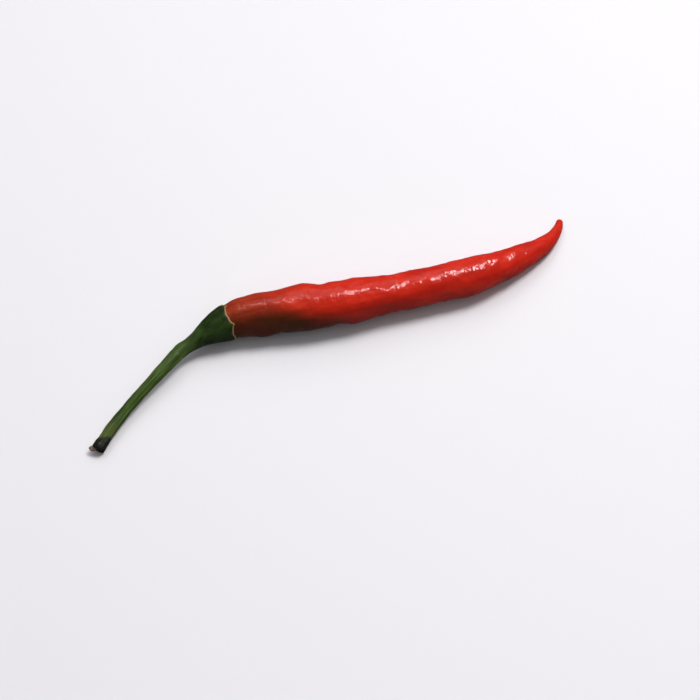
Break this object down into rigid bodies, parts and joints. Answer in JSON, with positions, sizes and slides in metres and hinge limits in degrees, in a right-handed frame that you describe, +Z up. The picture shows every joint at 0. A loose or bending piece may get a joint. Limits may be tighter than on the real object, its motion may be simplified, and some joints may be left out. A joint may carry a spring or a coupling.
{
  "type": "chilli pepper",
  "caption": "Fresh red chilli pepper lying on its side: slender waxy pod with a curled tip, green toothed calyx and bent green stem.",
  "frame": {"origin": "on the surface that the chilli lies on, under the middle of its bounding box", "axes": "+X along the chilli, from the stem's free end at -X to the pod's tip at +X; +Z up from the surface; +Y completes the frame, and the bend carries the calyx to the +Y side and the stem's free end to the -Y side"},
  "size_m": [0.1192, 0.0204, 0.01],
  "materials": {
    "waxy_red_skin": "glossy waxy skin, red with a brown-green unripe side near the calyx",
    "calyx_green": "satin dark green leaf tissue with a pale dry rim",
    "stem_green": "satin green ribbed stalk, dark at its free end with a grain of torn bark"
  },
  "bodies": {
    "root": {"pod": "waxy_red_skin", "calyx": "calyx_green", "stem": "stem_green"}
  },
  "joints": []
}
